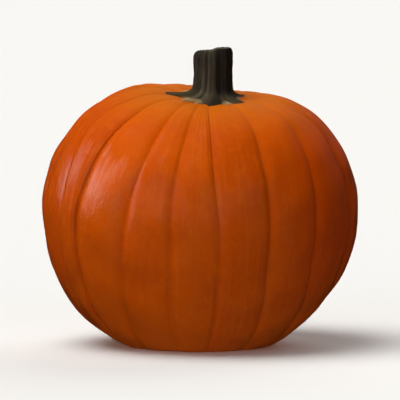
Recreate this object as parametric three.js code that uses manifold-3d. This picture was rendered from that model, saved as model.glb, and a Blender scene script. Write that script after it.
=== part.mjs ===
// A ripe carving pumpkin with its cut, dried stem, standing on the small flat spot under it.
// Millimetres, +Z up, the side that is looked at from the front faces -Y.
// The origin is under the middle of the fruit, on the surface that it stands on.
import * as THREE from "three";
import { mergeVertices } from "three/addons/utils/BufferGeometryUtils.js";
import Module from "manifold-3d";

// Fruit: one superellipse profile above the widest ring and one below it, both in the fruit's own frame
const RADIUS = 137;
const SIDE_SWELL = 0.024; // share by which it is wider from side to side, and narrower front to back
const CROWN = {
  height: 120,
  power: 2.12,
  lift: { share: 0.08, azimuth: 15 },
  ovalLift: { share: 0.05, azimuth: 73 },
  hollow: { depth: 20, width: 55 },
};
const BASE = {
  height: 128,
  power: 2.5,
  lift: { share: 0.105, azimuth: -56 },
  ovalLift: { share: 0.05, azimuth: 30 },
  hollow: { depth: 7, width: 24 },
};

// Lobes: the azimuth of each crease in degrees, how far it leans and how far it bows on its way down.
// The first eight are on the front. The rest go on round the back at even steps, each a little off.
const FRONT_CREASES = [
  { azimuth: -65, lean: -6.5, bow: -3.5 },
  { azimuth: -50.5, lean: -2.5, bow: 2.5 },
  { azimuth: -28.5, lean: 3, bow: 1 },
  { azimuth: -9.5, lean: -2.5, bow: 1.5 },
  { azimuth: 5.5, lean: -5, bow: -2.5 },
  { azimuth: 28.5, lean: -2, bow: 1 },
  { azimuth: 52.5, lean: -0.5, bow: 4.5 },
  { azimuth: 75.5, lean: 2, bow: 1 },
];
const BACK_CREASES = 11;
const BACK_SCATTER = 2.4; // degrees
const BACK_LEAN = 3;
const BACK_BOW = 2;
const LOBE_DROP = 0.055; // how far a lobe falls to its creases, as a share of its width
const LOBE_POWER = 2.2; // how square the lobe's back is
const CREASE_DEPTH = 0.045; // the crease itself, as a share of the lobe's width
const CREASE_WIDTH = 0.08;
const CREASE_ROUNDING = 0.3;
const CREASES_AT_STEM = 1.5; // how strong the lobes and creases are there, against the widest ring
const CREASES_AT_BASE = 0.5;
const BASE_FADE = [0.55, 0.9]; // how far down, as a share of the base's height, they weaken

// How the fruit stands: it leans towards the front and to the right, and its weight presses a flat spot
const LEAN_FORWARD = 10;
const LEAN_RIGHT = 4.5;
const WIDEST_RING_HEIGHT = 119.9;
const FLAT_SPOT_ROUNDING = 1.5;

// Stem: five ridges that run down into five rooting feet, with a sawn top
const STEM = { height: 45, waist: 17.6, topWaist: 16.2, footHeight: 17, offset: 4.8 };
const STEM_FEET = [
  { azimuth: -78, reach: 43, spread: 15 },
  { azimuth: -4, reach: 41, spread: 20 },
  { azimuth: 47, reach: 36, spread: 18 },
  { azimuth: 128, reach: 33, spread: 19 },
  { azimuth: 202, reach: 35, spread: 19 },
];
const FOOT_REACH_BETWEEN = 24;
const FOOT_FLARE_POWER = 2.6;
const RIDGE_HEIGHT = 0.085; // share of the waist
const TOP_RISE = { height: 0.9, azimuth: 100 }; // the sawn top is higher on the right
const TOP_EDGE = 1.5; // how far the worn edge of the top reaches down the side
const TOP_RINGS = [
  { scale: 0.93, below: 0 },
  { scale: 0.7, below: 0.5 },
  { scale: 0.35, below: 2 },
];
const TOP_MIDDLE_BELOW = 2.4;
const STEM_SINK = 5; // how far the stem's foot goes below the rind before it is cut to the rind
const SEAT_GAP = 0.3;

// How finely the surfaces are divided
const RINGS = 34;
const LOBE_STEPS = [0, 0.07, 0.26, 0.5, 0.74, 0.93];
const STEM_SIDES = 40;
const STEM_RINGS = 14;

const rad = THREE.MathUtils.degToRad;

// The angle of turn at every crease, from its azimuth, lean and bow, for a place on the profile.
// rise is 1 at the stem, 0 at the widest ring and -1 at the blossom end.
function creaseAzimuth(crease, rise) {
  return rad(crease.azimuth + crease.lean * rise + crease.bow * (2 * rise * rise - 1));
}

function allCreases() {
  const first = FRONT_CREASES[0].azimuth + 360;
  const last = FRONT_CREASES[FRONT_CREASES.length - 1].azimuth;
  const step = (first - last) / (BACK_CREASES + 1);
  const back = Array.from({ length: BACK_CREASES }, (_, i) => ({
    azimuth: last + step * (i + 1) + BACK_SCATTER * Math.sin(2.3 * i + 2.9),
    lean: BACK_LEAN * Math.sin(1.7 * i + 1.7),
    bow: BACK_BOW * Math.cos(2.9 * i + 2.9),
  }));
  return [...FRONT_CREASES, ...back];
}

// The fruit without its lobes: distance from the axis, height, and the direction square to the rind.
// turn runs along the profile from 0 at the stem to pi at the blossom end.
function smoothProfile(azimuth, turn) {
  const half = turn < Math.PI / 2 ? CROWN : BASE;
  const side = half === CROWN ? 1 : -1;
  const sine = Math.max(Math.sin(turn), 0);
  const reach = RADIUS * (1 - SIDE_SWELL * Math.cos(2 * azimuth));
  const rho = reach * sine;
  const around = Math.pow(sine, half.power / 2);
  const rise = side * Math.sqrt(Math.max(1 - around * around, 0));
  const lift =
    half.lift.share * Math.cos(azimuth - rad(half.lift.azimuth)) +
    half.ovalLift.share * Math.cos(2 * (azimuth - rad(half.ovalLift.azimuth)));
  const height = half.height * (1 + lift * around);
  const z = (height - half.hollow.depth * Math.exp(-((rho / half.hollow.width) ** 2))) * rise;
  const outward = height * around;
  const slope = 2 / half.power;
  const upward = slope * reach * Math.pow(Math.max(around, 1e-3), slope - 1) * rise;
  const length = Math.hypot(outward, upward);
  return { rho, z, rise, outward: outward / length, upward: upward / length };
}

// How strong the lobes and creases are at a place on the profile.
function creaseStrength(rise) {
  const nearStem = (CREASES_AT_STEM - 1) * Math.max(rise, 0) ** 2;
  const nearBase = (1 - CREASES_AT_BASE) * THREE.MathUtils.smoothstep(-rise, BASE_FADE[0], BASE_FADE[1]);
  return 1 + nearStem - nearBase;
}

// From the fruit's own frame to the way it stands, with the underside pressed flat at the surface.
const leaning = new THREE.Euler(rad(LEAN_FORWARD), rad(LEAN_RIGHT), 0, "YXZ");

function stand(rho, azimuth, z) {
  const p = new THREE.Vector3(rho * Math.sin(azimuth), -rho * Math.cos(azimuth), z).applyEuler(leaning);
  p.z += WIDEST_RING_HEIGHT;
  const c = FLAT_SPOT_ROUNDING;
  if (p.z < -c) p.z = 0;
  else if (p.z < c) p.z = (p.z + c) ** 2 / (4 * c);
  return p;
}

// A point of the rind: the smooth profile, lowered along its normal towards each crease.
function rindPoint(turn, number, share, creases) {
  const rise = smoothProfile(0, turn).rise;
  const start = creaseAzimuth(creases[number], rise);
  const next = creases[(number + 1) % creases.length];
  const end = creaseAzimuth(next, rise) + (number + 1 === creases.length ? 2 * Math.PI : 0);
  const azimuth = start + share * (end - start);
  const at = smoothProfile(azimuth, turn);
  const width = (end - start) * at.rho;
  const fromCrease = Math.min(share, 1 - share) * width;
  const lobe = LOBE_DROP * Math.pow(Math.abs(2 * share - 1), LOBE_POWER);
  const crease = CREASE_DEPTH * Math.exp(-((fromCrease / (CREASE_WIDTH * width + CREASE_ROUNDING)) ** 2));
  const drop = (lobe + crease) * width * creaseStrength(rise);
  return stand(at.rho - drop * at.outward, azimuth, at.z - drop * at.upward);
}

// A closed surface from rings of points: each ring joins the next, and a point closes each end.
function closedSurface(rings, first, last) {
  const points = [first, ...rings.flat(), last];
  const around = rings[0].length;
  const index = [];
  const at = (ring, i) => 1 + ring * around + (i % around);
  for (let i = 0; i < around; i++) {
    index.push(0, at(0, i), at(0, i + 1));
    index.push(points.length - 1, at(rings.length - 1, i + 1), at(rings.length - 1, i));
    for (let ring = 0; ring + 1 < rings.length; ring++) {
      index.push(at(ring, i), at(ring + 1, i), at(ring + 1, i + 1));
      index.push(at(ring, i), at(ring + 1, i + 1), at(ring, i + 1));
    }
  }
  const geometry = new THREE.BufferGeometry().setFromPoints(points);
  geometry.setIndex(index);
  return geometry;
}

function fruitGeometry() {
  const creases = allCreases();
  const rings = [];
  for (let ring = 1; ring < RINGS; ring++) {
    const turn = (Math.PI * ring) / RINGS;
    rings.push(creases.flatMap((_, number) => LOBE_STEPS.map((s) => rindPoint(turn, number, s, creases))));
  }
  const top = smoothProfile(0, 0);
  const bottom = smoothProfile(0, Math.PI);
  return closedSurface(rings, stand(0, 0, top.z), stand(0, 0, bottom.z));
}

// How far apart two azimuths are, from 0 to pi.
function apart(a, b) {
  return Math.abs(THREE.MathUtils.euclideanModulo(a - b + Math.PI, 2 * Math.PI) - Math.PI);
}

// The feet at an azimuth: near is 1 on the line of a foot or ridge and 0 between two of them.
function feetAt(azimuth) {
  let near = 0;
  let reach = FOOT_REACH_BETWEEN;
  for (const foot of STEM_FEET) {
    const here = Math.exp(-((apart(azimuth, rad(foot.azimuth)) / rad(foot.spread)) ** 2));
    near = Math.max(near, here);
    reach = Math.max(reach, THREE.MathUtils.lerp(FOOT_REACH_BETWEEN, foot.reach, here));
  }
  return { near, reach };
}

// Where the stem grows out of the fruit, at the bottom of the hollow.
const root = stand(0, 0, smoothProfile(0, 0).z);

// A point of the stem's side. Low rings lean with the fruit and follow its hollow, high ones lie level.
function stemPoint(height, azimuth, scale = 1) {
  const { near, reach } = feetAt(azimuth);
  const up = Math.max(height, 0);
  const waist = THREE.MathUtils.lerp(STEM.waist, STEM.topWaist, up / STEM.height);
  const body = waist * (1 + RIDGE_HEIGHT * (2 * near - 1));
  const flare = Math.pow(Math.max(1 - up / STEM.footHeight, 0), FOOT_FLARE_POWER);
  const r = scale * THREE.MathUtils.lerp(body, reach, flare);
  const lean = Math.pow(Math.max(1 - up / (1.6 * STEM.footHeight), 0), 1.5);
  const floor = smoothProfile(azimuth, Math.asin(r / RADIUS)).z - smoothProfile(azimuth, 0).z;
  const turn = new THREE.Euler(rad(LEAN_FORWARD) * lean, rad(LEAN_RIGHT) * lean, 0, "YXZ");
  return new THREE.Vector3(r * Math.sin(azimuth), -r * Math.cos(azimuth), floor * lean)
    .applyEuler(turn)
    .add(root)
    .add(new THREE.Vector3(STEM.offset, 0, height));
}

// How high the sawn top is on one side of the stem.
function topHeight(azimuth) {
  return STEM.height + TOP_RISE.height * Math.cos(azimuth - rad(TOP_RISE.azimuth));
}

function stemGeometry() {
  const azimuths = Array.from({ length: STEM_SIDES }, (_, i) => (2 * Math.PI * i) / STEM_SIDES);
  const ring = (heightAt, scale) => azimuths.map((a) => stemPoint(heightAt(a), a, scale));
  const side = Array.from({ length: STEM_RINGS + 1 }, (_, i) =>
    ring((a) => Math.pow(i / STEM_RINGS, 1.5) * (topHeight(a) - TOP_EDGE)),
  );
  const top = TOP_RINGS.map(({ scale, below }) => ring((a) => topHeight(a) - below, scale));
  const rings = [ring(() => -STEM_SINK), ...side, ...top].reverse();
  const [topMiddle, footMiddle] = [STEM.height - TOP_MIDDLE_BELOW, -STEM_SINK];
  return closedSurface(rings, stemPoint(topMiddle, 0, 0), stemPoint(footMiddle, 0, 0));
}

const wasm = await Module();
wasm.setup();

function toSolid(geometry) {
  const merged = mergeVertices(geometry, 1e-4);
  return new wasm.Manifold(
    new wasm.Mesh({
      numProp: 3,
      vertProperties: merged.attributes.position.array,
      triVerts: new Uint32Array(merged.index.array),
    }),
  );
}

function toGeometry(solid) {
  const mesh = solid.getMesh();
  const geometry = new THREE.BufferGeometry();
  geometry.setAttribute("position", new THREE.BufferAttribute(mesh.vertProperties, 3));
  geometry.setIndex(new THREE.BufferAttribute(mesh.triVerts, 1));
  return geometry;
}

// The stem's foot cut to the rind under it, with a fine gap. Only its largest body is kept.
function seatedStem(stem, fruit) {
  const gap = new THREE.Vector3(0, 0, SEAT_GAP).applyEuler(leaning);
  const cut = toSolid(stem).subtract(toSolid(fruit).translate(gap.toArray()));
  const bodies = cut.decompose().sort((a, b) => b.volume() - a.volume());
  return toGeometry(bodies[0]);
}

const rindMaterial = new THREE.MeshStandardMaterial({ color: 0xc55a10, roughness: 0.45, metalness: 0 });
const stemMaterial = new THREE.MeshStandardMaterial({ color: 0x3b3527, roughness: 0.85, metalness: 0 });

const fruitSurface = fruitGeometry();
fruitSurface.computeBoundingBox();
const middle = fruitSurface.boundingBox.getCenter(new THREE.Vector3());
const stemSurface = seatedStem(stemGeometry(), fruitSurface);
for (const geometry of [fruitSurface, stemSurface]) geometry.translate(-middle.x, -middle.y, 0);

const fruit = new THREE.Mesh(fruitSurface, rindMaterial);
fruit.name = "fruit";
const stem = new THREE.Mesh(stemSurface, stemMaterial);
stem.name = "stem";

const pumpkin = new THREE.Group();
pumpkin.add(fruit, stem);

export default pumpkin;
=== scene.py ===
"""A ripe carving pumpkin with its cut, dried stem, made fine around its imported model.

Shapes are worked out in millimetres, in the fruit's own frame: the stem's end is +Z, azimuths run from the
front, -Y, towards +X. They are then leaned and pressed flat as the fruit stands, and turned into metres.
"""

import math
from collections import namedtuple

import bpy
import numpy as np
from bpy.props import FloatProperty, FloatVectorProperty, PointerProperty
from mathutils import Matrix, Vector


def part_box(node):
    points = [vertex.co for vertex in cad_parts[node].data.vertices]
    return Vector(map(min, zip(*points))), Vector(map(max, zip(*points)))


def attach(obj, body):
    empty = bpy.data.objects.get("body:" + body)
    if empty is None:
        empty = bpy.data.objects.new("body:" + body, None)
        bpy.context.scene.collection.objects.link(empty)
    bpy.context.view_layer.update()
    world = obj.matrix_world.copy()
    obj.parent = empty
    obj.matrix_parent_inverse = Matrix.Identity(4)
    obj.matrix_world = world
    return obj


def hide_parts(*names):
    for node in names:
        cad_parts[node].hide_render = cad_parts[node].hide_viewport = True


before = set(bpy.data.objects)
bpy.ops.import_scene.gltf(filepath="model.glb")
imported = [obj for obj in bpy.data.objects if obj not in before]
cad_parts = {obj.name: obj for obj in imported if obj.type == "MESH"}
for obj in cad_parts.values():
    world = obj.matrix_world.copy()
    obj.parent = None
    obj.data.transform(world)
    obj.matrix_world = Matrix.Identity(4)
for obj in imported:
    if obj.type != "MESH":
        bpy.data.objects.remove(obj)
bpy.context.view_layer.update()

bl_info = {
    "name": "Ripe Pumpkin",
    "version": (1, 0, 0),
    "blender": (4, 5, 0),
    "location": "View3D > Sidebar > Pumpkin",
    "description": "Builds a ribbed carving pumpkin with a dried stem on a pale studio floor",
    "category": "Add Mesh",
}

MM = 0.001  # metres in a millimetre

# Fruit: one superellipse profile above the widest ring and one below it
RADIUS = 137
SIDE_SWELL = 0.024
Half = namedtuple("Half", "height power lift lift_azimuth oval oval_azimuth hollow_depth hollow_width")
CROWN = Half(120, 2.12, 0.08, 15, 0.05, 73, 20, 55)
BASE = Half(128, 2.5, 0.105, -56, 0.05, 30, 7, 24)

# Creases: azimuth, how far each leans and how far it bows on its way down, in degrees, and how deep it is
FRONT_CREASES = [
    (-65, -6.5, -3.5, 0.42),
    (-50.5, -2.5, 2.5, 1),
    (-28.5, 3, 1, 1.1),
    (-9.5, -2.5, 1.5, 1),
    (5.5, -5, -2.5, 0.6),
    (28.5, -2, 1, 0.52),
    (52.5, -0.5, 4.5, 0.5),
    (75.5, 2, 1, 0.8),
]
BACK_CREASES = 11
BACK_SCATTER, BACK_LEAN, BACK_BOW = 2.4, 3, 2
BACK_DEPTH, BACK_DEPTH_CHANGE = 0.8, 0.2
LOBE_DROP, LOBE_POWER = 0.05, 2.2
CREASE_DEPTH, CREASE_WIDTH, CREASE_ROUNDING = 0.024, 0.08, 0.4
CREASES_AT_STEM, CREASES_AT_BASE = 1.2, 0.5
BASE_FADE = (0.55, 0.9)
GROOVE_WIDTH = 2.2  # the narrow groove at the bottom of each crease
CREASE_BOTTOM = 1.6  # how far from its line a crease is rounded
CREASE_TINT_WIDTH = 4  # how far the creases' darker colour reaches: partly the rind's own tone, partly painted shade
CREASE_WANDER = 0.35  # degrees that a crease strays from its line
DEPTH_CHANGE = (0.3, 0.7)  # share of a lobe over which one crease's depth gives way to the next one's

# Painted shade: the right side, which lies in shade, is drawn redder. Its azimuth in degrees, the cosine of
# the way round to it, and the rises between which it comes in at the bottom and goes out at the top
RIND_SHADE_SIDE = 95
RIND_SHADE_EDGE, RIND_SHADE_BOTTOM, RIND_SHADE_TOP = (0.3, 0.8), (-0.6, -0.1), (0.5, 0.85)
# Each lobe has a tone, which on the lobes in view is also painted light and shade. This seed was picked from
# 30,001, as the one whose tones on the lobes in view come nearest to how dark or bright those lobes are in
# the photo. Those of the back are by chance.
TONE_SEED = 14520

# How the fruit stands
LEAN_FORWARD, LEAN_RIGHT = 10, 4.5
WIDEST_RING_HEIGHT = 119.9
FLAT_SPOT_ROUNDING = 1.5

# Shallow furrows on some lobes: lobe, share of its width, how that share changes with the rise, where the
# furrow starts and ends as rises, and its depth
Furrow = namedtuple("Furrow", "lobe share drift top end depth")
FRONT_FURROWS = [
    Furrow(1, 0.41, 0.22, 0.92, 0.02, 0.55),
    Furrow(2, 0.54, 0.0, 0.02, -0.5, 0.5),
    Furrow(2, 0.46, -0.1, 0.95, 0.5, 0.35),
    Furrow(4, 0.45, 0.3, 0.75, 0.1, 0.3),
    Furrow(5, -0.1, 0.9, 0.86, 0.5, 0.5),
    Furrow(6, 0.55, 0.1, 0.6, -0.3, 0.35),
]
BACK_FURROWS = 9
BACK_FURROW_SEED = 41
FURROW_WIDTH = 2.6
FURROW_END = 0.15  # rise over which a furrow runs out

# Relief of the rind: seeds, and longest and shortest waves of its gentle bumps and of its lengthwise ribs
UNEVEN_SEED, UNEVEN_WAVES = 7, (75, 28)
STREAK_SEED, STREAK_WAVES = 8, (12, 4)
STREAK_STRETCH, STREAK_FADE_POWER = 0.09, 1.5
RELIEF_FROM_AXIS = (6, 40)  # where relief comes in, away from the poles

# Stem: five main ridges that run down into rooting feet, and lesser ridges between them
STEM_HEIGHT, STEM_WAIST, STEM_TOP_WAIST = 45, 17.6, 16.2
STEM_FOOT_HEIGHT, STEM_OFFSET = 16, 4.8
Foot = namedtuple("Foot", "azimuth reach spread")
STEM_FEET = [Foot(-78, 44, 14), Foot(-4, 44, 17), Foot(35, 43, 16), Foot(128, 33, 19), Foot(202, 35, 19)]
SMALL_FEET = [
    Foot(-46, 39, 11),
    Foot(-25, 38, 9),
    Foot(18, 40, 10),
    Foot(72, 23, 12),
    Foot(165, 30, 11),
    Foot(240, 31, 11),
]
FOOT_REACH_BETWEEN, FOOT_FLARE_POWER, RIDGE_HEIGHT = 21, 4.3, 0.085
STEM_SINK = 5
STEM_LEAN_HEIGHT, STEM_LEAN_POWER = 25.6, 1.5  # up to where the stem leans with the fruit
Ridge = namedtuple("Ridge", "azimuth spread height")
SMALL_RIDGES = [
    Ridge(-35, 6, 1.1),
    Ridge(-14, 5.5, 1.2),
    Ridge(14, 5, 0.5),
    Ridge(68, 7, 0.7),
    Ridge(96, 6, 0.8),
    Ridge(158, 6, 0.9),
    Ridge(176, 6, 0.7),
    Ridge(232, 6, 0.9),
    Ridge(254, 5, 0.7),
]
RIDGE_TWIST = -9  # degrees that the lesser ridges turn on their way down to the feet
RIDGES_AT_FOOT, RIDGES_AT_TOP = 1.8, 0.35
RIDGE_FADE = (0.4, 0.8)  # share of the stem's height over which the lesser ridges flatten
TOP_STEP, TOP_STEP_WIDTH = 1.15, 2.6  # the sawn top is in two levels, higher on the right
TOP_EDGE_HEIGHT, TOP_EDGE_LEFT, TOP_EDGE_RIGHT = 7.0, 5.0, 3.0  # how far down and how far in the edge is worn
TOP_EDGE_CHANGE = (0.1, 0.8)  # share of the way to the right over which the worn edge narrows
TOP_SINK = 2.2  # how far the soft middle of the cut has dried in
TOP_SINK_EDGE = (0.05, 0.75)  # share of the way to the middle over which it sinks
STEM_SHADE_SIDE = (0, 8, 120, 165)  # azimuths over which the painted shade on the stem's right side fades in and out, in degrees
STEM_SHADE_TOE = (3, 13)  # azimuth and spread of the painted shade on the foot in front, in degrees

# Relief of the stem: seeds, longest and shortest waves, and how far each is stretched along the stem
FIBRE_SEED, FIBRE_WAVES, FIBRE_STRETCH = 21, (5, 1.4), 0.12
KNOT_SEED, KNOT_WAVES, KNOT_STRETCH = 22, (26, 9), 0.45
FRAY_SEED, FRAY_WAVES, FRAY_HEIGHT = 23, (6, 1.5), 0.35

# How finely the surfaces are divided
LOBE_SHARES = [
    0, 0.011, 0.025, 0.043, 0.066, 0.098, 0.14, 0.19, 0.25, 0.32, 0.4,
    0.5, 0.6, 0.68, 0.75, 0.81, 0.86, 0.902, 0.934, 0.957, 0.975, 0.989,
]
FRUIT_RINGS = 226
STEM_COLUMNS = 320
STEM_SIDE_RINGS, STEM_EDGE_RINGS, STEM_TOP_RINGS = 150, 12, 44
STEM_RING_POWER = 1.6  # which brings the rings closer towards the foot

# Materials
FACTOR, COLOUR_A, COLOUR_B, COLOUR_OUT = 0, 6, 7, 2  # sockets of a Mix node set to colours
NOISE_TURN = (0.6, 0.5, 0.4)  # radians, so that a noise's grid doesn't line up with the axes
# Metres. Picked from four, so that waxy patches lie where the photo has its highlight
BLOOM_SHIFT = (0.11, -0.04, 0.06)
BLOOM_STRETCH = 0.4  # below 1, so that the waxy patches are taller than wide
PORE_SPACING = 7.5

# Light: soft round lamps, with where each is, its brightness, and how bright it is in reflections
Lamp = namedtuple("Lamp", "azimuth elevation half_width brightness mirrored")
LAMPS = [
    Lamp(-80, 67, 32, 5.7, 0.0),  # key, above at the left
    Lamp(-96, 24, 38, 0.0, 2.8),  # window at the left, which only shows as the soft highlight
    Lamp(-36, 3, 37, 2.65, 0.0),  # low fill at the front left
    Lamp(24, 2, 45, 0.95, 0.0),  # low fill at the front
    Lamp(160, 30, 40, 2.0, 0.0),  # light from behind
]
SKY_SEEN = "#eeecea"
FLOOR_GLOW = 0.25  # how bright the floor is to the fruit, with no shadow, so that the underside is lit evenly
FLOOR_REACH, FLOOR_GAP = 60, 0.0003  # metres from the middle to the floor's edge, and how far it lies below

# View: a long lens from a little above, and what its frame spans at the fruit
VIEW_HEIGHT_DEGREES = 4.5
VIEW_DISTANCE = 4.0
VIEW_TARGET_HEIGHT = 0.128
VIEW_SPAN = 0.3556
SENSOR = 36
VIEW_CLIP = 100


def linear(colour):
    """The linear values of an sRGB hex colour such as "#d4600f"."""
    parts = [int(colour[i : i + 2], 16) / 255 for i in (1, 3, 5)]
    return tuple(c / 12.92 if c <= 0.04045 else ((c + 0.055) / 1.055) ** 2.4 for c in parts)


def colour_property(name, description, colour):
    """A colour that a user can change, with an sRGB hex default."""
    return FloatVectorProperty(
        name=name, description=description, subtype="COLOR", size=3, min=0, max=1, default=linear(colour)
    )


def length_property(name, description, millimetres):
    """A length that a user can change, kept in metres."""
    return FloatProperty(
        name=name, description=description, unit="LENGTH", precision=5, min=0, default=millimetres * MM
    )


class RindSettings(bpy.types.PropertyGroup):
    """Sizes and colours of the rind."""

    groove_depth: length_property("Groove depth", "Depth of the narrow groove in each crease", 0.12)
    unevenness: length_property("Unevenness", "Height of the rind's gentle bumps", 0.55)
    streak_height: length_property("Streak height", "Height of the fine lengthwise ribs", 0.09)
    skin: colour_property("Skin", "Main colour of the ripe skin", "#d55500")
    pale_skin: colour_property("Pale skin", "Colour of the paler streaks and patches", "#dc6001")
    deep_skin: colour_property("Deep skin", "Colour of the deeper patches", "#ca4a00")
    # the brightest lobes: partly painted light
    bright_skin: colour_property("Bright skin", "Colour of the brightest lobes", "#e85d00")
    # painted shade: the redder colour of the rind's shaded right side
    shaded_skin: colour_property("Sunny skin", "Redder colour of the side that ripened in the sun", "#d44000")
    # darker in the creases: partly the rind's own tone, partly painted shade
    crease: colour_property("Crease", "Colour at the bottom of the creases", "#a93a01")
    crown: colour_property("Crown", "Colour of the skin round the stem", "#d26c05")
    cork: colour_property("Cork", "Colour of healed scuffs and of the blossom scar", "#b58350")


class StemSettings(bpy.types.PropertyGroup):
    """Sizes and colours of the dried stem."""

    fibre_height: length_property("Fibre height", "Height of the woody fibres that stand out", 0.32)
    knot_height: length_property("Knot height", "Height of the broad bumps", 0.7)
    bark: colour_property("Bark", "Main colour of the dried stem", "#3d382b")
    # the groove colour is also the painted shade on the stem's right side and front foot
    groove: colour_property("Groove", "Colour between the ridges and of the dark side", "#211a13")
    ridge: colour_property("Ridge", "Colour of the worn ridges", "#5c5242")
    olive: colour_property("Olive", "Colour of the dried skin at the foot", "#473b20")
    tan: colour_property("Tan", "Colour of the bare patches between the feet", "#a98a60")
    cut: colour_property("Cut", "Colour of the sawn top", "#7b7152")


class StageSettings(bpy.types.PropertyGroup):
    """The floor and the light."""

    floor: colour_property("Floor", "Colour of the pale floor", "#f1efeb")
    fill: FloatProperty(name="Fill", description="Brightness of the whole sky", min=0, default=0.0)
    lamps: FloatProperty(name="Lamps", description="Strength of the soft lamps", min=0, default=1.0)


def smoothstep(value, low, high):
    """0 below low, 1 above high, and an even S between them."""
    t = np.clip((value - low) / (high - low), 0, 1)
    return t * t * (3 - 2 * t)


def ripple(points, seed, longest, shortest, waves=48):
    """Seeded random relief of about -1 to 1: plane waves that cross the points in random directions, with
    wavelengths spread evenly between the two lengths, added up."""
    draw = np.random.default_rng(seed)
    ways = draw.normal(size=(3, waves))
    ways /= np.linalg.norm(ways, axis=0) * np.geomspace(longest, shortest, waves)
    phases = draw.uniform(0, 2 * np.pi, waves)
    return np.cos(2 * np.pi * (points @ ways) + phases).sum(-1) / np.sqrt(waves)


def smooth_profile(azimuth, turn):
    """The fruit without its lobes. The distance from the axis is the reach times the sine of the turn. The
    rise, 1 at the stem and -1 at the blossom end, follows a superellipse, and the height is the half's own
    height times the rise, with the hollow taken off. The last two values are the outward and upward parts of
    the direction square to the rind."""
    is_crown = turn < np.pi / 2
    half = Half(*(np.where(is_crown, crown, base) for crown, base in zip(CROWN, BASE)))
    side = np.where(is_crown, 1, -1)
    sine = np.maximum(np.sin(turn), 0)
    reach = RADIUS * (1 - SIDE_SWELL * np.cos(2 * azimuth))
    rho = reach * sine
    around = sine ** (half.power / 2)
    rise = side * np.sqrt(np.maximum(1 - around**2, 0))
    lift = half.lift * np.cos(azimuth - np.radians(half.lift_azimuth))
    oval = half.oval * np.cos(2 * (azimuth - np.radians(half.oval_azimuth)))
    height = half.height * (1 + (lift + oval) * around)
    z = (height - half.hollow_depth * np.exp(-((rho / half.hollow_width) ** 2))) * rise
    outward = height * around
    slope = 2 / half.power
    upward = slope * reach * np.maximum(around, 1e-3) ** (slope - 1) * rise
    length = np.hypot(outward, upward)
    return rho, z, rise, outward / length, upward / length


def turned(points, share=1.0):
    """Points turned by a share of the fruit's lean: about X to the front, then about Y to the right."""
    x, y, z = np.moveaxis(points, -1, 0)
    a, b = np.radians(LEAN_FORWARD) * share, np.radians(LEAN_RIGHT) * share
    y, z = y * np.cos(a) - z * np.sin(a), y * np.sin(a) + z * np.cos(a)
    return np.stack([x * np.cos(b) + z * np.sin(b), y, z * np.cos(b) - x * np.sin(b)], -1)


def stand(rho, azimuth, z):
    """Points of the fruit's own frame as it stands: leaned, lifted, and pressed flat where they would go
    below the surface, with a short parabola into the flat spot."""
    points = turned(np.stack([rho * np.sin(azimuth), -rho * np.cos(azimuth), z], -1))
    z = points[..., 2] + WIDEST_RING_HEIGHT
    c = FLAT_SPOT_ROUNDING
    points[..., 2] = np.where(z > c, z, np.maximum(z + c, 0) ** 2 / (4 * c))
    return points


def all_creases():
    """Azimuth, lean, bow and depth of every crease: those of the front, then those round the back at even
    steps, each a little off by a sine or cosine of its number."""
    first, last = FRONT_CREASES[0][0] + 360, FRONT_CREASES[-1][0]
    i = np.arange(BACK_CREASES)
    azimuth = last + (first - last) / (BACK_CREASES + 1) * (i + 1) + BACK_SCATTER * np.sin(2.3 * i + 2.9)
    lean = BACK_LEAN * np.sin(1.7 * i + 1.7)
    bow = BACK_BOW * np.cos(2.9 * i + 2.9)
    depth = BACK_DEPTH + BACK_DEPTH_CHANGE * np.cos(1.9 * i + 3)
    return np.vstack([FRONT_CREASES, np.stack([azimuth, lean, bow, depth], 1)])


def all_furrows():
    """The furrows of the front, and seeded ones on the lobes of the back."""
    draw = np.random.default_rng(BACK_FURROW_SEED)
    furrows = list(FRONT_FURROWS)
    back_lobes = len(FRONT_CREASES) + np.arange(BACK_CREASES)
    for lobe in draw.choice(back_lobes, BACK_FURROWS, replace=False):
        top = draw.uniform(0.3, 0.95)
        share, drift = draw.uniform(0.38, 0.62), draw.uniform(-0.1, 0.1)
        furrows.append(Furrow(lobe, share, drift, top, top - draw.uniform(0.4, 0.9), draw.uniform(0.3, 0.55)))
    return furrows


def furrow_drop(number, share, rise, width):
    """How far the furrows lower the rind: each by a bell across its line, from its top to its end."""
    return sum(
        f.depth
        * (number == f.lobe)
        * np.exp(-(((share - f.share - f.drift * rise) * width / FURROW_WIDTH) ** 2))
        * smoothstep(rise, f.end, f.end + FURROW_END)
        * smoothstep(-rise, -f.top, FURROW_END - f.top)
        for f in all_furrows()
    )


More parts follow.
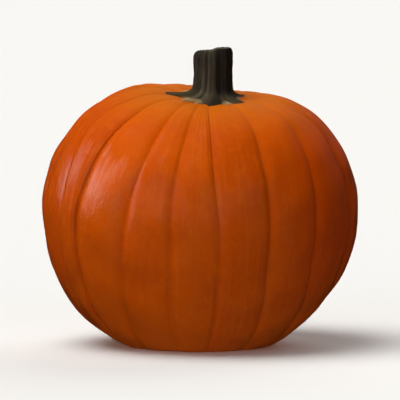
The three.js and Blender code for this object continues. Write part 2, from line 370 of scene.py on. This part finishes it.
def rind_surface(settings):
    """The rind as rings of points, with what its material reads. Each point starts on the smooth profile
    and is lowered along the direction square to it: by a power of how far it is across its lobe, by a bell
    in the crease, by a narrower bell for the groove, by the furrows, and by seeded relief. The painted shade
    of the redder right side follows the cosine of the way round to it."""
    creases = all_creases()
    turn = (np.pi * np.arange(1, FRUIT_RINGS) / FRUIT_RINGS)[:, None]
    number = np.repeat(np.arange(len(creases)), len(LOBE_SHARES))
    share = np.tile(LOBE_SHARES, len(creases))
    rise = smooth_profile(0.0, turn)[2]
    wander = CREASE_WANDER * np.sin(7 * rise + 5 * np.arange(len(creases))) * (1 - rise**2)
    lines = creases[:, 0] + creases[:, 1] * rise + creases[:, 2] * (2 * rise**2 - 1) + wander
    lines = np.radians(np.hstack([lines, lines[:, :1] + 360]))
    gap = lines[:, number + 1] - lines[:, number]
    azimuth = lines[:, number] + share * gap
    rho, z, rise, outward, upward = smooth_profile(azimuth, turn)

    width = gap * rho
    from_crease = np.minimum(share, 1 - share) * width
    near_stem = (CREASES_AT_STEM - 1) * np.maximum(rise, 0) ** 2
    strength = 1 + near_stem - (1 - CREASES_AT_BASE) * smoothstep(-rise, *BASE_FADE)
    across = 1 - 2 * np.hypot(from_crease, CREASE_BOTTOM) / np.maximum(width, 4 * CREASE_BOTTOM)
    lobe = LOBE_DROP * np.maximum(across, 0) ** LOBE_POWER
    bell = CREASE_DEPTH * np.exp(-((from_crease / (CREASE_WIDTH * width + CREASE_ROUNDING)) ** 2))
    away_from_poles = smoothstep(rho, *RELIEF_FROM_AXIS)
    groove = settings.groove_depth / MM * np.exp(-((from_crease / GROOVE_WIDTH) ** 2)) * away_from_poles
    depths = np.append(creases[:, 3], creases[0, 3])
    depth = depths[number] + (depths[number + 1] - depths[number]) * smoothstep(share, *DEPTH_CHANGE)
    furrow = furrow_drop(number, share, rise, width)
    own = np.stack([rho * np.sin(azimuth), -rho * np.cos(azimuth), z], -1)
    even = 2 * np.pi * (number + share) / len(creases) + 0 * rise
    length = RADIUS * turn + 0 * even
    grain = np.stack([RADIUS * np.cos(even), RADIUS * np.sin(even), length], -1)
    uneven = ripple(own, UNEVEN_SEED, *UNEVEN_WAVES) * settings.unevenness / MM
    streaks = ripple(grain * (1, 1, STREAK_STRETCH), STREAK_SEED, *STREAK_WAVES)
    streaks = streaks * settings.streak_height / MM * (rho / RADIUS) ** STREAK_FADE_POWER
    relief = (uneven + streaks) * away_from_poles
    drop = (lobe + bell) * width * strength * depth + (groove + furrow) * np.minimum(strength, 1) + relief

    tones = np.random.default_rng(TONE_SEED).uniform(-1, 1, len(creases))
    # Painted shade: the right side, which lies in shade, is drawn redder
    side_shade = smoothstep(np.cos(azimuth - np.radians(RIND_SHADE_SIDE)), *RIND_SHADE_EDGE)
    attributes = {
        "crease": np.exp(-((from_crease / CREASE_TINT_WIDTH) ** 2)) * np.minimum(strength, 1),
        "rise": rise + 0 * azimuth,
        "tone": tones[number] + 0 * azimuth,
        "side_shade": side_shade * smoothstep(rise, *RIND_SHADE_BOTTOM) * (1 - smoothstep(rise, *RIND_SHADE_TOP)),
        "grain": grain * MM,
    }
    return stand(rho - drop * outward, azimuth, z - drop * upward), attributes


def near_feet(azimuth, feet):
    """How near an azimuth is to the line of a foot, 1 on it and falling in a bell, and how far the feet reach
    there."""
    near, reach = 0 * azimuth, FOOT_REACH_BETWEEN + 0 * azimuth
    for foot in feet:
        apart = np.abs((azimuth - np.radians(foot.azimuth) + np.pi) % (2 * np.pi) - np.pi)
        here = np.exp(-((apart / np.radians(foot.spread)) ** 2))
        near = np.maximum(near, here)
        reach = np.maximum(reach, FOOT_REACH_BETWEEN + (foot.reach - FOOT_REACH_BETWEEN) * here)
    return near, reach


def stem_surface(settings):
    """The stem as rings of points from its foot, over the worn edge and across the sawn top. The side's
    distance from the stem's axis is a tapering waist with five ridges, which flares by a power of the height
    into feet. Lesser ridges, broad bumps and fibres stand out from it. Low rings lean with the fruit and
    follow its hollow, high ones lie level. The edge is a quarter of an ellipse, and the top a dish with a
    step across it."""
    azimuth = 2 * np.pi * np.arange(STEM_COLUMNS) / STEM_COLUMNS + np.zeros((1, 1))
    side = (np.arange(STEM_SIDE_RINGS + 1) / STEM_SIDE_RINGS)[:, None] ** STEM_RING_POWER
    edge = (np.arange(1, STEM_EDGE_RINGS + 1) / STEM_EDGE_RINGS * np.pi / 2)[:, None]
    top = (1 - np.arange(1, STEM_TOP_RINGS) / STEM_TOP_RINGS)[:, None]
    right = 0.5 + 0.5 * np.sin(azimuth)
    rounding = TOP_EDGE_LEFT + (TOP_EDGE_RIGHT - TOP_EDGE_LEFT) * smoothstep(right, *TOP_EDGE_CHANGE)
    step = TOP_STEP * np.tanh(STEM_TOP_WAIST * np.sin(azimuth) / TOP_STEP_WIDTH)
    rim = STEM_HEIGHT + step - TOP_EDGE_HEIGHT
    upper = [rim + TOP_EDGE_HEIGHT * np.sin(edge), rim + TOP_EDGE_HEIGHT + 0 * top]
    height = np.vstack([-STEM_SINK + 0 * azimuth, side * rim, *upper])
    inset = np.vstack([0 * azimuth, 0 * side * rim, rounding * (1 - np.cos(edge)), rounding + 0 * top])
    across = np.vstack([1 + 0 * azimuth, 1 + 0 * side * rim, 1 + 0 * edge * rim, top + 0 * rim])
    azimuth = azimuth + 0 * height

    near, reach = near_feet(azimuth, STEM_FEET)
    small_near, small_reach = near_feet(azimuth, SMALL_FEET)
    up = np.maximum(height, 0)
    waist = STEM_WAIST + (STEM_TOP_WAIST - STEM_WAIST) * up / STEM_HEIGHT
    body = waist * (1 + RIDGE_HEIGHT * (2 * near - 1))
    flare = np.maximum(1 - up / STEM_FOOT_HEIGHT, 0) ** FOOT_FLARE_POWER
    radius = body + (np.maximum(reach, small_reach) - body) * flare

    twist = np.radians(RIDGE_TWIST) * np.maximum(1 - up / STEM_HEIGHT, 0) ** 2
    ridges = 0 * azimuth
    for ridge in SMALL_RIDGES:
        apart = np.abs((azimuth - twist - np.radians(ridge.azimuth) + np.pi) % (2 * np.pi) - np.pi)
        ridges = ridges + ridge.height * np.exp(-((apart / np.radians(ridge.spread)) ** 2))
    flatten = 1 - (1 - RIDGES_AT_TOP) * smoothstep(up / STEM_HEIGHT, *RIDGE_FADE)
    ridges *= (1 + (RIDGES_AT_FOOT - 1) * flare) * flatten
    along = np.stack([STEM_WAIST * np.cos(azimuth), STEM_WAIST * np.sin(azimuth), height - inset], -1)
    fibres = ripple(along * (1, 1, FIBRE_STRETCH), FIBRE_SEED, *FIBRE_WAVES)
    knots = ripple(along * (1, 1, KNOT_STRETCH), KNOT_SEED, *KNOT_WAVES)
    relief = ridges + fibres * settings.fibre_height / MM + knots * settings.knot_height / MM
    radius = (radius - inset + relief) * across

    lean = np.maximum(1 - up / STEM_LEAN_HEIGHT, 0) ** STEM_LEAN_POWER
    pole = smooth_profile(0.0, 0.0)[1]
    bottom = smooth_profile(azimuth, np.arcsin(radius / RADIUS))[1] - pole
    flat = np.stack([radius * np.sin(azimuth), -radius * np.cos(azimuth), bottom * lean], -1)
    points = turned(flat, lean)
    dish = np.where(across < 1, smoothstep(1 - across, *TOP_SINK_EDGE), 0)
    level = TOP_STEP * np.tanh(flat[..., 0] / TOP_STEP_WIDTH) - step
    fray = ripple(flat * (1, 1, 0), FRAY_SEED, *FRAY_WAVES) * FRAY_HEIGHT * (across < 0.97)
    on_top = np.where(across < 1, level, 0) - TOP_SINK * dish + fray
    root = stand(0.0, 0.0, pole)
    points = points + root + np.stack([STEM_OFFSET + 0 * height, 0 * height, height + on_top], -1)

    # Painted shade: the stem's right side and its foot in front are drawn dark, as shade makes them
    fade_in, full, still_full, gone = STEM_SHADE_SIDE
    degrees = np.degrees(azimuth + np.pi) % 360 - 180
    side = smoothstep(degrees, fade_in, full) * smoothstep(-degrees, -gone, -still_full)
    toe = np.exp(-(((degrees - STEM_SHADE_TOE[0]) / STEM_SHADE_TOE[1]) ** 2)) * flare**0.5
    attributes = {
        "ridge": np.clip(ridges / 1.2, 0, 1) * (across >= 1),
        "small_foot": np.clip(flare * np.maximum(small_near, 1 - near), 0, 1),
        "stem_shade": np.maximum(side * smoothstep(up / STEM_HEIGHT, 0.03, 0.25), toe),
        "up": np.clip(up / STEM_HEIGHT, 0, 1),
        "cut": smoothstep(inset / rounding, 0.55, 1.0),
        "grain": along * MM,
    }
    return points, attributes


def add_piece(name, rings, ends, attributes, material):
    """A closed mesh from rings of points, each joined to the next, with a point that closes each end. Faces
    point outwards when the rings run anticlockwise as seen from beyond the first end. Every attribute goes on
    the points, and an end takes the mean of its ring."""
    ring_count, around = rings.shape[:2]
    points = np.vstack([ends[:1], rings.reshape(-1, 3), ends[1:]]) * MM
    i = np.arange(around)
    after = (i + 1) % around
    first = 1 + around * np.arange(ring_count - 1)[:, None]
    quads = np.stack([first + i, first + around + i, first + around + after, first + after], -1)
    last = 1 + around * (ring_count - 1)
    caps = np.vstack(
        [
            np.stack([0 * i, 1 + i, 1 + after], -1),
            np.stack([0 * i + len(points) - 1, last + after, last + i], -1),
        ]
    )
    mesh = bpy.data.meshes.new(name)
    mesh.from_pydata(points.tolist(), [], caps.tolist() + quads.reshape(-1, 4).tolist())
    mesh.shade_smooth()
    for key, values in attributes.items():
        ends_too = np.concatenate(
            [values[:1].mean(1), values.reshape(-1, *values.shape[2:]), values[-1:].mean(1)]
        )
        kind, field = ("FLOAT", "value") if values.ndim == 2 else ("FLOAT_VECTOR", "vector")
        layer = mesh.attributes.new(key, kind, "POINT")
        layer.data.foreach_set(field, ends_too.astype(np.float32).ravel())
    mesh.materials.append(material)
    piece = bpy.data.objects.new(name, mesh)
    bpy.context.scene.collection.objects.link(piece)
    return piece


def centre_shift(rings):
    """How far the fruit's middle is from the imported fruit's, in millimetres, level with the surface."""
    low, high = (np.array(corner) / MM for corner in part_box("fruit"))
    own = (rings.min((0, 1)) + rings.max((0, 1))) / 2
    return ((low + high) / 2 - own) * (1, 1, 0)


def add_node(tree, kind, inputs=None, **settings):
    """Adds a node to a tree. settings are its own properties. inputs maps a socket's name or number to a
    value, or to another node's output, which is then linked to it."""
    node = tree.nodes.new(kind)
    for name, value in settings.items():
        setattr(node, name, value)
    for socket, value in (inputs or {}).items():
        if isinstance(value, bpy.types.NodeSocket):
            tree.links.new(value, node.inputs[socket])
        else:
            node.inputs[socket].default_value = value
    return node


def new_material(name):
    """An empty node material."""
    material = bpy.data.materials.new(name)
    material.use_nodes = True
    material.node_tree.nodes.clear()
    return material


def opaque(colour):
    """A colour with full alpha."""
    return (*colour, 1.0)


def rind_material(settings):
    """Ripe pumpkin rind: a hard, nearly matt skin under a thin coat of its own wax, which is patchy and gives
    the satin gloss. It is deep orange, with a tone on each lobe that is partly painted light and shade, paler
    lengthwise streaks, creases darker partly by painted shade, a right side drawn redder as painted shade, a
    yellower crown, small corky pores and a few healed scuffs."""
    material = new_material("waxy_pumpkin_rind")
    tree = material.node_tree
    own = add_node(tree, "ShaderNodeTexCoord").outputs["Object"]
    place = add_node(tree, "ShaderNodeMapping", {"Vector": own, "Rotation": NOISE_TURN}).outputs["Vector"]
    tall = add_node(
        tree,
        "ShaderNodeMapping",
        {"Vector": own, "Location": BLOOM_SHIFT, "Rotation": NOISE_TURN, "Scale": (1, 1, BLOOM_STRETCH)},
    ).outputs["Vector"]
    grain = add_node(tree, "ShaderNodeAttribute", attribute_name="grain").outputs["Vector"]
    crease = add_node(tree, "ShaderNodeAttribute", attribute_name="crease").outputs["Fac"]
    rise = add_node(tree, "ShaderNodeAttribute", attribute_name="rise").outputs["Fac"]
    tone = add_node(tree, "ShaderNodeAttribute", attribute_name="tone").outputs["Fac"]
    side_shade = add_node(tree, "ShaderNodeAttribute", attribute_name="side_shade").outputs["Fac"]
    along = add_node(
        tree,
        "ShaderNodeMapping",
        {"Vector": grain, "Rotation": NOISE_TURN, "Scale": (1, 1, STREAK_STRETCH)},
    ).outputs["Vector"]

    # Noises: what they follow, their size in millimetres and their detail
    kinds = {
        "patches": (place, 42, 3),
        "bloom": (tall, 15, 3),
        "mottle": (place, 9, 4),
        "dimples": (place, 2.6, 2),
        "streaks": (along, 5, 3),
        "fine_streaks": (along, 1.6, 2),
        "scars": (along, 14, 6),
    }
    noises = {}
    for name, (vector, size, detail) in kinds.items():
        inputs = {"Vector": vector, "Scale": 1 / (size * MM), "Detail": detail}
        noises[name] = add_node(tree, "ShaderNodeTexNoise", inputs).outputs["Fac"]
    inputs = {"Vector": place, "Scale": 1 / (PORE_SPACING * MM)}
    pores = add_node(tree, "ShaderNodeTexVoronoi", inputs).outputs["Distance"]

    # Colours laid over the skin: what decides where, from which value to which it comes in, and how much
    layers = [
        (noises["patches"], 0.35, 0.7, 1.0, settings.deep_skin),
        # each lobe's tone: its own colour, and on the lobes in view also painted light and shade
        (tone, 0.0, 1.0, 0.85, settings.deep_skin),
        (tone, 0.0, -1.0, 0.3, settings.bright_skin),
        (noises["streaks"], 0.45, 0.75, 0.45, settings.pale_skin),
        (noises["fine_streaks"], 0.5, 0.75, 0.12, settings.pale_skin),
        (noises["mottle"], 0.45, 0.7, 0.4, settings.pale_skin),
        # painted shade: the right side is drawn redder
        (side_shade, 0.0, 1.0, 0.5, settings.shaded_skin),
        # the creases drawn darker: partly the rind's own tone, partly painted shade
        (crease, 0.15, 1.0, 0.15, settings.crease),
        (rise, 0.7, 0.98, 0.8, settings.crown),
        (rise, -0.7, -0.97, 0.35, settings.crown),
        (pores, 0.11, 0.05, 0.3, settings.cork),
        (noises["scars"], 0.76, 0.79, 0.45, settings.cork),
        (rise, -0.9965, -0.999, 1.0, settings.cork),
    ]
    skin = opaque(settings.skin)
    for value, start, full, most, colour in layers:
        inputs = {"Value": value, "From Min": start, "From Max": full, "To Max": most}
        share = add_node(tree, "ShaderNodeMapRange", inputs, interpolation_type="SMOOTHSTEP").outputs[0]
        inputs = {FACTOR: share, COLOUR_A: skin, COLOUR_B: opaque(colour)}
        skin = add_node(tree, "ShaderNodeMix", inputs, data_type="RGBA").outputs[COLOUR_OUT]

    # Fine relief and gloss: as above, then the height in millimetres, and how much rougher and waxier it is
    reliefs = [
        (noises["bloom"], 0.4, 0.65, 0.0, 0.0, 0.5),
        (noises["mottle"], 0.35, 0.65, 0.12, 0.05, 0.1),
        (noises["dimples"], 0.3, 0.7, 0.1, 0.0, 0.0),
        (noises["streaks"], 0.4, 0.62, 0.1, 0.05, 0.35),
        (pores, 0.11, 0.05, -0.1, 0.1, -0.3),
        (noises["scars"], 0.76, 0.79, 0.08, 0.2, -0.5),
        (crease, 0.1, 1.0, 0.0, 0.1, -0.1),
        (rise, 0.35, 0.7, 0.0, 0.1, -0.65),
    ]
    height, roughness, wax = 0.0, 0.4, 0.0
    for value, start, full, millimetres, rougher, waxier in reliefs:
        inputs = {"Value": value, "From Min": start, "From Max": full}
        share = add_node(tree, "ShaderNodeMapRange", inputs, interpolation_type="SMOOTHSTEP").outputs[0]
        inputs = {0: share, 1: millimetres * MM, 2: height}
        height = add_node(tree, "ShaderNodeMath", inputs, operation="MULTIPLY_ADD").outputs[0]
        inputs = {0: share, 1: rougher, 2: roughness}
        roughness = add_node(tree, "ShaderNodeMath", inputs, operation="MULTIPLY_ADD").outputs[0]
        inputs = {0: share, 1: waxier, 2: wax}
        wax = add_node(tree, "ShaderNodeMath", inputs, operation="MULTIPLY_ADD", use_clamp=True).outputs[0]
    bump = add_node(tree, "ShaderNodeBump", {"Height": height, "Distance": 1.0}).outputs["Normal"]
    inputs = {
        "Base Color": skin,
        "Roughness": roughness,
        "Specular IOR Level": 0.04,
        "IOR": 1.45,
        "Normal": bump,
        "Coat Weight": wax,
        "Coat Roughness": 0.2,
        "Coat IOR": 1.43,  # plant wax
        "Coat Normal": bump,
    }
    shader = add_node(tree, "ShaderNodeBsdfPrincipled", inputs)
    add_node(tree, "ShaderNodeOutputMaterial", {"Surface": shader.outputs["BSDF"]})
    return material


def stem_material(settings):
    """Dried pumpkin stem: woody and corky. It is dull and nearly black between the ridges, olive brown on its
    faces, and worn pale on the ridges and at the foot, with a paler fibrous cut. Its right side and its foot
    in front are painted nearly black as shade."""
    material = new_material("dried_woody_stem")
    tree = material.node_tree
    own = add_node(tree, "ShaderNodeTexCoord").outputs["Object"]
    place = add_node(tree, "ShaderNodeMapping", {"Vector": own, "Rotation": NOISE_TURN}).outputs["Vector"]
    grain = add_node(tree, "ShaderNodeAttribute", attribute_name="grain").outputs["Vector"]
    ridge = add_node(tree, "ShaderNodeAttribute", attribute_name="ridge").outputs["Fac"]
    foot = add_node(tree, "ShaderNodeAttribute", attribute_name="small_foot").outputs["Fac"]
    stem_shade = add_node(tree, "ShaderNodeAttribute", attribute_name="stem_shade").outputs["Fac"]
    up = add_node(tree, "ShaderNodeAttribute", attribute_name="up").outputs["Fac"]
    cut = add_node(tree, "ShaderNodeAttribute", attribute_name="cut").outputs["Fac"]
    along = add_node(
        tree,
        "ShaderNodeMapping",
        {"Vector": grain, "Rotation": NOISE_TURN, "Scale": (1, 1, FIBRE_STRETCH)},
    ).outputs["Vector"]

    # Noises: what they follow, their size in millimetres and their detail
    kinds = {
        "fibres": (along, 1.5, 3),
        "bands": (along, 5, 3),
        "patches": (place, 7, 4),
        "flecks": (place, 1.2, 2),
    }
    noises = {}
    for name, (vector, size, detail) in kinds.items():
        inputs = {"Vector": vector, "Scale": 1 / (size * MM), "Detail": detail}
        noises[name] = add_node(tree, "ShaderNodeTexNoise", inputs).outputs["Fac"]

    # Colours laid over the groove's: what decides where, from which value to which it comes in, what it is
    # multiplied by, and how much
    layers = [
        (noises["bands"], 0.3, 0.6, 1.0, 1.0, settings.bark),
        (up, 0.22, 0.04, noises["patches"], 1.5, settings.olive),
        (ridge, 0.15, 0.9, noises["fibres"], 1.5, settings.ridge),
        # painted shade: the stem's right side and front foot take the nearly black groove colour
        (stem_shade, 0.0, 1.0, 1.0, 0.85, settings.groove),
        (foot, 0.45, 0.8, noises["patches"], 1.8, settings.tan),
        (noises["fibres"], 0.52, 0.75, 1.0, 0.2, settings.ridge),
        (cut, 0.0, 1.0, 1.0, 1.0, settings.cut),
        (cut, 0.0, 1.0, noises["flecks"], 1.4, settings.bark),
    ]
    bark = opaque(settings.groove)
    for value, start, full, times, most, colour in layers:
        inputs = {"Value": value, "From Min": start, "From Max": full, "To Max": most}
        share = add_node(tree, "ShaderNodeMapRange", inputs, interpolation_type="SMOOTHSTEP").outputs[0]
        share = add_node(
            tree, "ShaderNodeMath", {0: share, 1: times}, operation="MULTIPLY", use_clamp=True
        ).outputs[0]
        inputs = {FACTOR: share, COLOUR_A: bark, COLOUR_B: opaque(colour)}
        bark = add_node(tree, "ShaderNodeMix", inputs, data_type="RGBA").outputs[COLOUR_OUT]

    inputs = {0: noises["fibres"], 1: noises["flecks"]}
    height = add_node(tree, "ShaderNodeMath", inputs, operation="ADD").outputs[0]
    bump = add_node(tree, "ShaderNodeBump", {"Height": height, "Distance": 0.5 * MM, "Strength": 0.8})
    inputs = {
        "Base Color": bark,
        "Roughness": 0.85,
        "Specular IOR Level": 0.2,
        "IOR": 1.45,
        "Normal": bump.outputs["Normal"],
    }
    shader = add_node(tree, "ShaderNodeBsdfPrincipled", inputs)
    add_node(tree, "ShaderNodeOutputMaterial", {"Surface": shader.outputs["BSDF"]})
    return material


def direction(azimuth, elevation):
    """The way from the fruit to a place in the sky. Azimuth 0 is the front, and -90 the left."""
    a, e = math.radians(azimuth), math.radians(elevation)
    return (math.sin(a) * math.cos(e), -math.cos(a) * math.cos(e), math.sin(e))


def light_the_sky(settings):
    """Soft studio light all round: soft round lamps, each brightest in its middle, in an even fill. The
    camera sees a plain pale sky."""
    world = bpy.data.worlds.new("soft_studio")
    bpy.context.scene.world = world
    world.cycles.sampling_method = "NONE"  # so that reflections see only what is meant for them
    world.use_nodes = True
    tree = world.node_tree
    tree.nodes.clear()
    way = add_node(tree, "ShaderNodeTexCoord").outputs["Generated"]
    soft, mirrored = settings.fill, settings.fill
    for lamp in LAMPS:
        centre = direction(lamp.azimuth, lamp.elevation)
        towards = add_node(tree, "ShaderNodeVectorMath", {0: way, 1: centre}, operation="DOT_PRODUCT")
        edge = math.cos(math.radians(lamp.half_width))
        inputs = {"Value": towards.outputs["Value"], "From Min": edge, "To Max": settings.lamps}
        glow = add_node(tree, "ShaderNodeMapRange", inputs, interpolation_type="SMOOTHSTEP").outputs[0]
        inputs = {0: glow, 1: lamp.brightness, 2: soft}
        soft = add_node(tree, "ShaderNodeMath", inputs, operation="MULTIPLY_ADD").outputs[0]
        inputs = {0: glow, 1: lamp.mirrored, 2: mirrored}
        mirrored = add_node(tree, "ShaderNodeMath", inputs, operation="MULTIPLY_ADD").outputs[0]
    path = add_node(tree, "ShaderNodeLightPath").outputs
    white = opaque((1, 1, 1))
    lit = add_node(tree, "ShaderNodeBackground", {"Color": white, "Strength": soft}).outputs[0]
    glossy = add_node(tree, "ShaderNodeBackground", {"Color": white, "Strength": mirrored}).outputs[0]
    seen = add_node(tree, "ShaderNodeBackground", {"Color": opaque(linear(SKY_SEEN))}).outputs[0]
    unseen = add_node(tree, "ShaderNodeMixShader", {0: path["Is Glossy Ray"], 1: lit, 2: glossy}).outputs[0]
    both = add_node(tree, "ShaderNodeMixShader", {0: path["Is Camera Ray"], 1: unseen, 2: seen}).outputs[0]
    add_node(tree, "ShaderNodeOutputWorld", {"Surface": both})


def floor_material(settings):
    """Matt painted floor: plain and pale where the camera sees it. It lights the fruit with an even glow, and
    doesn't show in reflections."""
    material = new_material("matt_painted_floor")
    tree = material.node_tree
    path = add_node(tree, "ShaderNodeLightPath").outputs
    inputs = {0: path["Is Diffuse Ray"], 1: FLOOR_GLOW}
    strength = add_node(tree, "ShaderNodeMath", inputs, operation="MULTIPLY").outputs[0]
    glow = add_node(tree, "ShaderNodeEmission", {"Color": opaque((1, 1, 1)), "Strength": strength}).outputs[0]
    paint = add_node(tree, "ShaderNodeBsdfDiffuse", {"Color": opaque(settings.floor)}).outputs[0]
    both = add_node(tree, "ShaderNodeMixShader", {0: path["Is Camera Ray"], 1: glow, 2: paint}).outputs[0]
    add_node(tree, "ShaderNodeOutputMaterial", {"Surface": both})
    return material


class PUMPKIN_OT_stage(bpy.types.Operator):
    """Adds the camera, the pale floor and the soft light"""

    bl_idname = "pumpkin.stage"
    bl_label = "Set the Stage"

    def execute(self, context):
        settings = context.scene.pumpkin_stage
        elevation = math.radians(VIEW_HEIGHT_DEGREES)
        lens = bpy.data.cameras.new("view")
        lens.sensor_width = SENSOR
        lens.lens = SENSOR * VIEW_DISTANCE / VIEW_SPAN
        lens.clip_end = VIEW_CLIP
        camera = bpy.data.objects.new("view", lens)
        camera.location = (
            0,
            -VIEW_DISTANCE * math.cos(elevation),
            VIEW_TARGET_HEIGHT + VIEW_DISTANCE * math.sin(elevation),
        )
        camera.rotation_euler = (math.pi / 2 - elevation, 0, 0)
        context.scene.collection.objects.link(camera)
        context.scene.camera = camera

        corners = [(x * FLOOR_REACH, y * FLOOR_REACH, 0) for x, y in ((-1, -1), (1, -1), (1, 1), (-1, 1))]
        mesh = bpy.data.meshes.new("floor")
        mesh.from_pydata(corners, [], [(0, 1, 2, 3)])
        mesh.materials.append(floor_material(settings))
        floor = bpy.data.objects.new("floor", mesh)
        floor.location.z = -FLOOR_GAP
        context.scene.collection.objects.link(floor)
        light_the_sky(settings)
        context.scene.view_settings.view_transform = "Standard"
        return {"FINISHED"}


class PUMPKIN_OT_fruit(bpy.types.Operator):
    """Adds the ribbed fruit, resting on its flat spot"""

    bl_idname = "pumpkin.fruit"
    bl_label = "Add the Fruit"

    def execute(self, context):
        settings = context.scene.pumpkin_rind
        rings, attributes = rind_surface(settings)
        ends = stand(np.zeros(2), np.zeros(2), smooth_profile(0.0, np.array([0, np.pi]))[1])
        shift = centre_shift(rings)
        fruit = add_piece("fruit_rind", rings + shift, ends + shift, attributes, rind_material(settings))
        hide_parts("fruit")
        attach(fruit, "root")
        return {"FINISHED"}


class PUMPKIN_OT_stem(bpy.types.Operator):
    """Adds the dried stem with its rooting feet and sawn top"""

    bl_idname = "pumpkin.stem"
    bl_label = "Add the Stem"

    def execute(self, context):
        settings = context.scene.pumpkin_stem
        rings, attributes = stem_surface(settings)
        rings = rings[::-1]
        attributes = {key: values[::-1] for key, values in attributes.items()}
        ends = np.stack([rings[0].mean(0), rings[-1].mean(0)])
        # The stem goes where the rind's own shift takes it
        shift = centre_shift(rind_surface(context.scene.pumpkin_rind)[0])
        stem = add_piece("stem_wood", rings + shift, ends + shift, attributes, stem_material(settings))
        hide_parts("stem")
        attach(stem, "root")
        return {"FINISHED"}


class PUMPKIN_PT_panel(bpy.types.Panel):
    """Lists the pieces and their settings"""

    bl_idname = "PUMPKIN_PT_panel"
    bl_label = "Ripe Pumpkin"
    bl_space_type = "VIEW_3D"
    bl_region_type = "UI"
    bl_category = "Pumpkin"

    def draw(self, context):
        for operator, group in (
            (PUMPKIN_OT_stage, context.scene.pumpkin_stage),
            (PUMPKIN_OT_fruit, context.scene.pumpkin_rind),
            (PUMPKIN_OT_stem, context.scene.pumpkin_stem),
        ):
            box = self.layout.box()
            box.operator(operator.bl_idname)
            for name in group.__annotations__:
                box.prop(group, name)


GROUPS = {"pumpkin_rind": RindSettings, "pumpkin_stem": StemSettings, "pumpkin_stage": StageSettings}
CLASSES = (*GROUPS.values(), PUMPKIN_OT_stage, PUMPKIN_OT_fruit, PUMPKIN_OT_stem, PUMPKIN_PT_panel)


def register():
    for cls in CLASSES:
        bpy.utils.register_class(cls)
    for name, group in GROUPS.items():
        setattr(bpy.types.Scene, name, PointerProperty(type=group))


def unregister():
    for name in GROUPS:
        delattr(bpy.types.Scene, name)
    for cls in reversed(CLASSES):
        bpy.utils.unregister_class(cls)


def main():
    """Builds the stage and both pieces."""
    register()
    bpy.ops.pumpkin.stage()
    bpy.ops.pumpkin.fruit()
    bpy.ops.pumpkin.stem()


if __name__ == "__main__":
    main()
